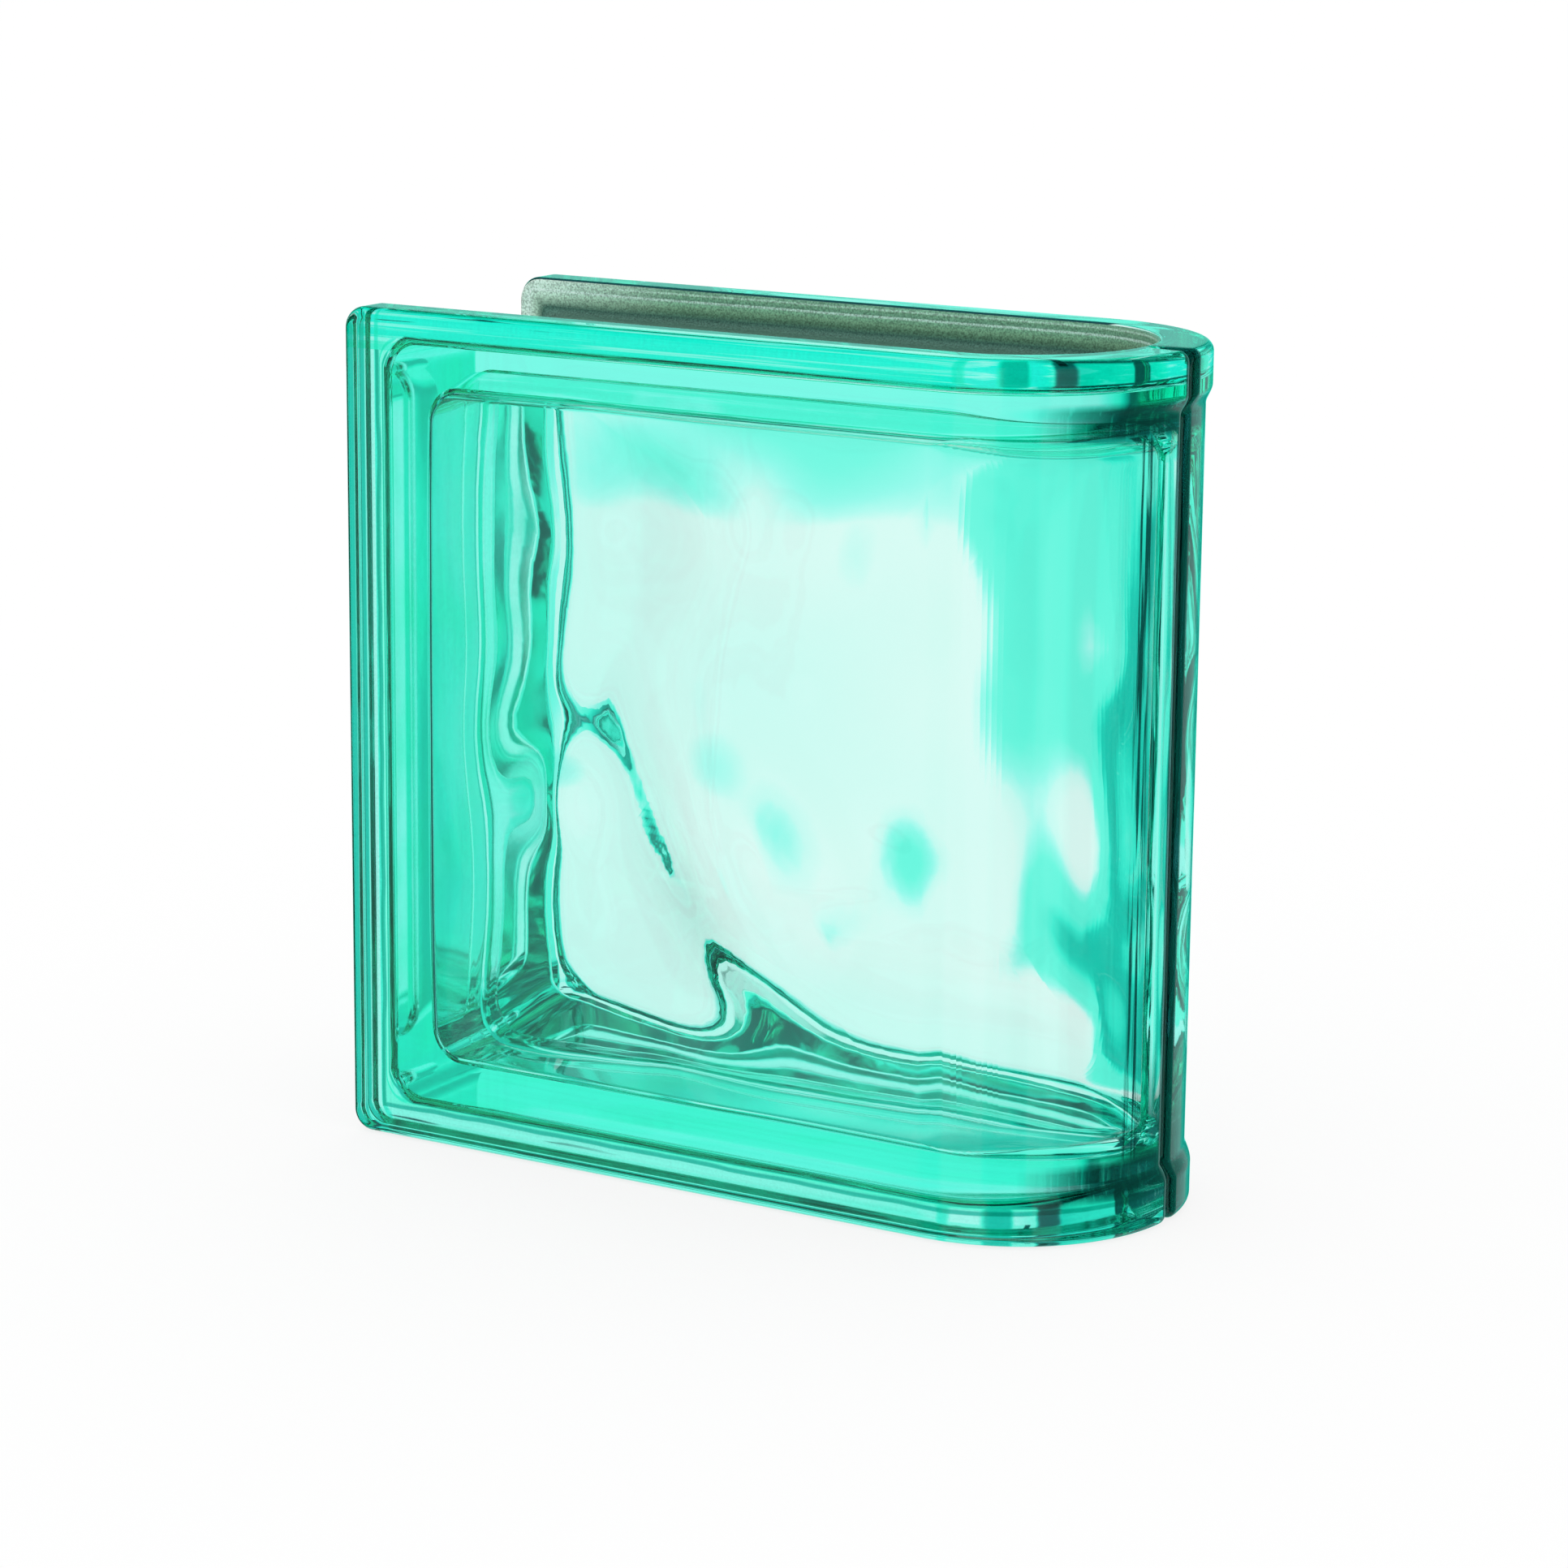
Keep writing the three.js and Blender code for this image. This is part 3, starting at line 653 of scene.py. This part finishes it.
# Streaks follow the edge: along X at the top and bottom, along Z at the side.
streak_scale = (1 / STREAK_LENGTH, 1 / STREAK_DEPTH, 1 / STREAK_WIDTH)
along = []
for scale in (streak_scale, streak_scale[::-1]):
    lengthways = node(tree, "ShaderNodeMapping", {"Scale": scale}, {0: position})
    along.append(node(tree, "ShaderNodeTexNoise", {"Scale": 1.0, "Detail": 4.0}, {"Vector": lengthways}))
along_x, along_z = along
at_side = node(tree, "ShaderNodeMapRange", {"From Min": 10 * MM, "From Max": 8 * MM}, {0: from_left})
streak = node(
    tree, "ShaderNodeMix", {"data_type": "FLOAT"}, {"Factor": at_side, "A": along_x, "B": along_z})
grain = node(tree, "ShaderNodeTexNoise", {"Scale": 1 / PAINT_GRAIN, "Detail": 2.0}, {"Vector": position})
rubbed = node(tree, "ShaderNodeMix", {"data_type": "FLOAT", "Factor": 0.4}, {"A": streak, "B": grain})
worn = node(tree, "ShaderNodeMapRange", {"From Min": 0.3, "From Max": 0.55, "To Min": 0.88}, {0: rubbed})

# The bands wander a little to and fro across their depth.
wavy = node(tree, "ShaderNodeTexNoise", {"Scale": 1 / BAND_WANDER, "Detail": 2.0}, {"Vector": position})
drift = node(tree, "ShaderNodeMath", {"operation": "MULTIPLY_ADD", 1: 1.6 * MM, 2: -0.8 * MM}, {0: wavy})
bands = []
for depth, stops in ((from_side, SIDE_PAINTED_BANDS), (from_top, TOP_PAINTED_BANDS)):
    drifted = node(tree, "ShaderNodeMath", {"operation": "ADD"}, {0: depth, 1: drift})
    share = node(tree, "ShaderNodeMath", {"operation": "DIVIDE", 1: BANDS_REACH * MM}, {0: drifted})
    band = node(tree, "ShaderNodeValToRGB", {}, {0: share})
    set_stops(band, [(depth / BANDS_REACH, to_linear(colour)) for depth, colour in stops])
    bands.append(band)
banded = node(tree, "ShaderNodeMix", {"data_type": "RGBA"}, {0: is_top, MIX_A: bands[0], MIX_B: bands[1]})

# Pale streaks of painted highlight through the bands of the top edge.
wiped = node(tree, "ShaderNodeMapRange", {"From Min": 0.55, "From Max": 0.66, "To Max": 0.85}, {0: along_x})
highlight_streaks_top = node(tree, "ShaderNodeMath", {"operation": "MULTIPLY"}, {0: wiped, 1: is_top})
streaked = node(
    tree, "ShaderNodeMix",
    {"data_type": "RGBA", MIX_B: to_linear(PAINTED_HIGHLIGHT_WHITE)},
    {0: highlight_streaks_top, MIX_A: banded.outputs[MIX_RESULT]})
tone = node(
    tree, "ShaderNodeMix",
    {"data_type": "RGBA", "blend_type": "MULTIPLY", 0: 1.0},
    {MIX_A: streaked.outputs[MIX_RESULT], MIX_B: worn})
mirror = node(
    tree, "ShaderNodeBsdfPrincipled",
    {"Roughness": 0.06, "Metallic": 1.0},
    {"Base Color": tone.outputs[MIX_RESULT]})
node(tree, "ShaderNodeOutputMaterial", {}, {"Surface": mirror})
glass.data.materials.append(painted_sheen)
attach(glass, "root")
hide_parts("front_dish", "back_dish")

# ---- Edge coat ----
# A thin coat of vinyl paint with a little sand in it, sprayed into the mortar channel from flange to
# flange on three sides of the block, so that mortar grips the glass. It has dried fast to the glass.

COAT_THICKNESS = 0.4 * MM
# A hair's breadth keeps the coat's skin clear of the glass faces under it.
COAT_GAP = 0.03 * MM


def coat_skin(shrink):
    """Rows of points of one skin of the coat, front margin to back margin, each an open C."""
    floor_depth = CHANNEL_DEPTH - shrink
    depths = [COAT_MARGIN] + [d for d in round_stations(FLANGE_INNER_ROUND) if d > COAT_MARGIN]
    depths += [floor_depth - d for d in reversed(round_stations(CHANNEL_FLOOR_ROUND))]
    levels = [(CHANNEL_HALF_WIDTH + channel_spread(d, shrink), d) for d in depths]
    floor_width = levels[-1][0]
    levels += [(floor_width * (1 - i / SPAN_STEPS), floor_depth) for i in range(1, SPAN_STEPS + 1)]
    rows = []
    for side, half in ((-1, levels), (1, levels[-2::-1])):
        for distance, depth in half:
            lower = channel_end(distance, depth, depths, shrink)
            upper = [(x, BLOCK_HEIGHT - z, own) for x, z, own in lower]
            low, high = left_corners(depth, 0.0)
            row = lower + between(lower[-1], low[-1], SPAN_STEPS) + low[::-1]
            row += between(low[0], high[-1], SPAN_STEPS) + high[::-1]
            row += between(high[0], upper[-1], SPAN_STEPS) + upper[::-1]
            rows.append([(x, side * distance, z) for x, z, own in row])
    return rows


def sprayed_coat():
    """The coat's two skins, closed along their common border."""
    outer = coat_skin(COAT_THICKNESS)
    inner = coat_skin(COAT_GAP)
    count = len(outer)
    size = len(outer[0])
    shift = count * size
    points = [point for row in outer + inner for point in row]
    faces = []
    for row in range(count - 1):
        for column in range(size - 1):
            a = row * size + column
            b = a + size
            faces.append((a, a + 1, b + 1, b))
            faces.append((shift + b, shift + b + 1, shift + a + 1, shift + a))
    border = list(range(size)) + [row * size + size - 1 for row in range(1, count)]
    border += [(count - 1) * size + column for column in range(size - 2, -1, -1)]
    border += [row * size for row in range(count - 2, 0, -1)]
    for a, b in zip(border, border[1:] + border[:1]):
        faces.append((a + shift, b + shift, b, a))
    return closed_piece("sprayed_coat", points, faces, [0] * len(faces))


coat = sprayed_coat()

# Sprayed vinyl paint with fine sand, dried matt. The eye gets a dull grey-green, whose green cast is
# painted light from the glass, with painted shade and two painted highlight lines that change with the
# depth from the edge, a sandy grain, and painted white light near the end.

# Colour of the coat by depth from the flange edge in mm: the two pale lines are painted highlights and
# the darker tones are painted shade.
COAT_LIGHT_AND_SHADE_BANDS = (
    (0.0, "#2c443c"),
    (0.25, "#6f9a83"),
    (0.85, "#8fbfa2"),
    (1.0, "#c4ead6"),
    (1.25, "#c4ead6"),
    (1.5, "#86b898"),
    (2.4, "#7fb096"),
    (2.55, "#d2f1e4"),
    (2.85, "#d2f1e4"),
    (3.15, "#8fc4a4"),
    (4.3, "#86b291"),
    (5.4, "#668f74"),
    (6.5, "#43665a"),
    (7.2, "#587e72"),
    (10.0, "#66887a"),
)
PAINTED_LIGHT_WHITE = "#eefbf3"
COAT_CORNER_BLEND = 3 * MM
COAT_WANDER = 40 * MM
# Real grit of the sand is about 0.2 mm; it is drawn coarser so that it shows.
SAND_GRAIN = 0.385 * MM
SAND_RELIEF = 0.05 * MM
WIPE_LENGTH = 83.3 * MM
WIPE_WIDTH = 0.833 * MM

grey = new_material("sprayed_sanded_vinyl_paint")
tree = grey.node_tree
place = node(tree, "ShaderNodeNewGeometry", {}, {})
position = place.outputs["Position"]
at_x, _, at_z = node(tree, "ShaderNodeSeparateXYZ", {}, {0: position}).outputs
from_top = node(tree, "ShaderNodeMath", {"operation": "SUBTRACT", 0: BLOCK_HEIGHT}, {1: at_z})
from_end = node(tree, "ShaderNodeMath", {"operation": "MINIMUM"}, {0: from_top, 1: at_z})
from_left = node(tree, "ShaderNodeMath", {"operation": "SUBTRACT", 1: BLOCK_LEFT}, {0: at_x})
from_edge = node(
    tree, "ShaderNodeMath", {"operation": "SMOOTH_MIN", 2: COAT_CORNER_BLEND}, {0: from_end, 1: from_left})
wavy = node(tree, "ShaderNodeTexNoise", {"Scale": 1 / COAT_WANDER, "Detail": 1.0}, {"Vector": position})
drift = node(tree, "ShaderNodeMath", {"operation": "MULTIPLY_ADD", 1: 0.8 * MM, 2: -0.4 * MM}, {0: wavy})
drifted = node(tree, "ShaderNodeMath", {"operation": "ADD"}, {0: from_edge, 1: drift})
share = node(tree, "ShaderNodeMath", {"operation": "DIVIDE", 1: BANDS_REACH * MM}, {0: drifted})
shade = node(tree, "ShaderNodeValToRGB", {}, {0: share})
set_stops(shade, [(depth / BANDS_REACH, to_linear(colour)) for depth, colour in COAT_LIGHT_AND_SHADE_BANDS])

# Painted light: the coat is whitened at the left end and near the edge, as bare glass showing the white
# room would look.
near_left = node(
    tree, "ShaderNodeMapRange",
    {"From Min": 4 * MM, "From Max": 45 * MM, "To Min": 0.75, "To Max": 0.0}, {0: from_left})
not_deep = node(tree, "ShaderNodeMapRange", {"From Min": 6.5 * MM, "From Max": 3 * MM}, {0: drifted})
painted_light_share = node(tree, "ShaderNodeMath", {"operation": "MULTIPLY"}, {0: near_left, 1: not_deep})
whitened = node(
    tree, "ShaderNodeMix", {"data_type": "RGBA", MIX_B: to_linear(PAINTED_LIGHT_WHITE)}, {0: painted_light_share, MIX_A: shade})

# Sand grains and wiping marks mottle the colour, and the grains stand up a little.
sand = node(tree, "ShaderNodeTexNoise", {"Scale": 1 / SAND_GRAIN, "Detail": 1.0}, {"Vector": position})
wipe_scale = (1 / WIPE_LENGTH, 1 / WIPE_WIDTH, 1 / WIPE_WIDTH)
lengthways = node(tree, "ShaderNodeMapping", {"Scale": wipe_scale}, {0: position})
wiped = node(tree, "ShaderNodeTexNoise", {"Scale": 1.0, "Detail": 3.0}, {"Vector": lengthways})
mottle = node(tree, "ShaderNodeMix", {"data_type": "FLOAT", "Factor": 0.2}, {"A": sand, "B": wiped})
spread = node(
    tree, "ShaderNodeMapRange",
    {"From Min": 0.32, "From Max": 0.66, "To Min": 0.55, "To Max": 1.4}, {0: mottle})
mottled = node(
    tree, "ShaderNodeMix",
    {"data_type": "RGBA", "blend_type": "MULTIPLY", 0: 1.0},
    {MIX_A: whitened.outputs[MIX_RESULT], MIX_B: spread})
relief = node(tree, "ShaderNodeBump", {"Strength": 0.5, "Distance": SAND_RELIEF}, {"Height": sand})
paint = node(
    tree, "ShaderNodeBsdfPrincipled",
    {"Roughness": 0.45, "Metallic": 0.15},
    {"Base Color": mottled.outputs[MIX_RESULT], "Normal": relief})
node(tree, "ShaderNodeOutputMaterial", {}, {"Surface": paint})
coat.data.materials.append(grey)
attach(coat, "root")
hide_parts("edge_coat")

# ---- Floor ----
# A plain sheet of white card on the studio table, just under the block. It glows a little to the
# camera, so that it is as white as the room, and keeps a faint shadow of the block.

FLOOR_HALF_SIZE = 6
FLOOR_GAP = 0.2 * MM
FLOOR_COLOUR = "#e7e7e7"
FLOOR_GLOW = 1.06
GLOW_SHARE = 0.78

corners = [(x * FLOOR_HALF_SIZE, y * FLOOR_HALF_SIZE, 0) for x, y in ((-1, -1), (1, -1), (1, 1), (-1, 1))]
floor_mesh = bpy.data.meshes.new("floor")
floor_mesh.from_pydata(corners, [], [(0, 1, 2, 3)])
floor = bpy.data.objects.new("floor", floor_mesh)
bpy.context.scene.collection.objects.link(floor)
floor.location.z = -FLOOR_GAP
floor.visible_transmission = False
floor.visible_glossy = False

card = new_material("matt_white_card")
tree = card.node_tree
path = node(tree, "ShaderNodeLightPath", {}, {})
diffuse = node(tree, "ShaderNodeBsdfDiffuse", {"Color": to_linear(FLOOR_COLOUR)}, {})
glow = node(tree, "ShaderNodeEmission", {"Strength": FLOOR_GLOW}, {})
to_camera = path.outputs["Is Camera Ray"]
mostly = node(tree, "ShaderNodeMath", {"operation": "MULTIPLY", 1: GLOW_SHARE}, {0: to_camera})
mix = node(tree, "ShaderNodeMixShader", {}, {0: mostly, 1: diffuse, 2: glow})
node(tree, "ShaderNodeOutputMaterial", {}, {"Surface": mix})
floor_mesh.materials.append(card)

# ---- Studio room ----
# An evenly white room lights the block. Turquoise-grey flags stand round it for the glass alone to
# show, as cards do round glassware in a studio, so that the edges of the glass draw lines.

# Brightness by compass bearing, in degrees clockwise from straight behind the block.
ROUND_THE_ROOM = (
    (-180, 0.95), (-167, 0.95), (-163, 0.78), (-154, 0.8), (-151, 0.92), (-130, 0.92), (-126, 0.06),
    (-76, 0.06), (-70, 0.85), (-62, 1.0), (-28.5, 1.0), (-27.6, 0.965), (-26.7, 0.92), (-25.6, 0.88),
    (-20, 0.86), (-18, 0.5), (-13, 0.45), (-9, 0.7), (0, 0.92), (22, 0.95), (30, 0.82), (40, 0.7),
    (85, 0.7), (97, 0.6), (100, 0.08), (115, 0.08), (118, 0.9), (136, 0.95), (139, 0.5), (160, 0.5),
    (165, 0.95), (180, 0.95),
)
# Brightness by height above the horizon, in degrees.
UP_THE_WALLS = (
    (-90, 0.85), (-60, 0.9), (-45, 1.0), (-5.8, 1.0), (-4, 0.97), (-1.5, 0.93), (1, 0.9), (25, 0.9),
    (40, 0.45), (90, 0.5),
)
# The flags go from near black through turquoise to white as they brighten.
FLAG_TINT = (
    (0.0, "#000000"),
    (0.157, "#166e6e"),
    (0.366, "#1da899"),
    (0.575, "#27d3bc"),
    (0.785, "#44f0d6"),
    (0.89, "#7cf9e3"),
    (0.94, "#affbf0"),
    (0.97, "#d4fdf6"),
    (1.0, "#fffdfa"),
)
ROOM_WHITE = "#ffffff"

world = bpy.data.worlds.new("studio")
bpy.context.scene.world = world
world.use_nodes = True
tree = world.node_tree
tree.nodes.clear()
way = node(tree, "ShaderNodeTexCoord", {}, {})
way_x, way_y, way_z = node(tree, "ShaderNodeSeparateXYZ", {}, {0: way.outputs["Generated"]}).outputs
bearing = node(tree, "ShaderNodeMath", {"operation": "ARCTAN2"}, {0: way_x, 1: way_y})
height = node(tree, "ShaderNodeMath", {"operation": "ARCSINE"}, {0: way_z})
shades = []
for angle, span, stops in ((bearing, 360, ROUND_THE_ROOM), (height, 180, UP_THE_WALLS)):
    to_share = {"operation": "MULTIPLY_ADD", 1: 1 / math.radians(span), 2: 0.5}
    share = node(tree, "ShaderNodeMath", to_share, {0: angle})
    shade = node(tree, "ShaderNodeValToRGB", {}, {0: share})
    set_stops(shade, [(degrees / span + 0.5, (level, level, level, 1)) for degrees, level in stops])
    shades.append(shade)
around, upward = shades
# Straight down there are no flags.
low_down = node(tree, "ShaderNodeMapRange", {"From Min": -0.85, "From Max": -0.6}, {0: way_z})
flagged = node(tree, "ShaderNodeMix", {"data_type": "FLOAT", "A": 1.0}, {"Factor": low_down, "B": around})
level = node(tree, "ShaderNodeMath", {"operation": "MINIMUM"}, {0: flagged, 1: upward})
tinted = node(tree, "ShaderNodeValToRGB", {}, {0: level})
set_stops(tinted, [(level, to_linear(colour)) for level, colour in FLAG_TINT])
path = node(tree, "ShaderNodeLightPath", {}, {})
through = node(
    tree, "ShaderNodeMath", {"operation": "ADD", "use_clamp": True},
    {0: path.outputs["Is Glossy Ray"], 1: path.outputs["Is Transmission Ray"]})
seen = node(
    tree, "ShaderNodeMix", {"data_type": "RGBA", MIX_A: to_linear(ROOM_WHITE)}, {0: through, MIX_B: tinted})
sky = node(tree, "ShaderNodeBackground", {"Strength": 1.0}, {"Color": seen.outputs[MIX_RESULT]})
node(tree, "ShaderNodeOutputWorld", {}, {"Surface": sky})

# ---- Camera ----
# A long lens at a little above the block's height, turned to its front and rounded end. Its focal
# length is given in pixels of a square frame.

CAMERA_PLACE = (0.51082, -0.85831, 0.313)
CAMERA_TURN = 0.54
CAMERA_TILT = -0.2238
CAMERA_ROLL = 0.009
FOCAL_PIXELS = 5657
IMAGE_PIXELS = 1932
SENSOR_WIDTH = 36
# Enough bounces for light to pass the front dish, the hollow and the back dish, and be thrown back.
MAX_BOUNCES = 18
GLOSSY_BOUNCES = 12
TRANSMISSION_BOUNCES = 16

camera_data = bpy.data.cameras.new("camera")
camera = bpy.data.objects.new("camera", camera_data)
bpy.context.scene.collection.objects.link(camera)
camera_data.sensor_width = SENSOR_WIDTH
camera_data.lens = FOCAL_PIXELS / IMAGE_PIXELS * SENSOR_WIDTH
forward = Vector((
    -math.sin(CAMERA_TURN) * math.cos(CAMERA_TILT),
    math.cos(CAMERA_TURN) * math.cos(CAMERA_TILT),
    math.sin(CAMERA_TILT),
))
right = Vector((math.cos(CAMERA_TURN), math.sin(CAMERA_TURN), 0))
up = right.cross(forward)
rolled_right = math.cos(CAMERA_ROLL) * right + math.sin(CAMERA_ROLL) * up
rolled_up = -math.sin(CAMERA_ROLL) * right + math.cos(CAMERA_ROLL) * up
turn = Matrix((rolled_right, rolled_up, -forward)).transposed()
camera.matrix_world = Matrix.Translation(CAMERA_PLACE) @ turn.to_4x4()
bpy.context.scene.camera = camera
bpy.context.scene.view_settings.view_transform = "Standard"
bpy.context.scene.cycles.max_bounces = MAX_BOUNCES
bpy.context.scene.cycles.glossy_bounces = GLOSSY_BOUNCES
bpy.context.scene.cycles.transmission_bounces = TRANSMISSION_BOUNCES
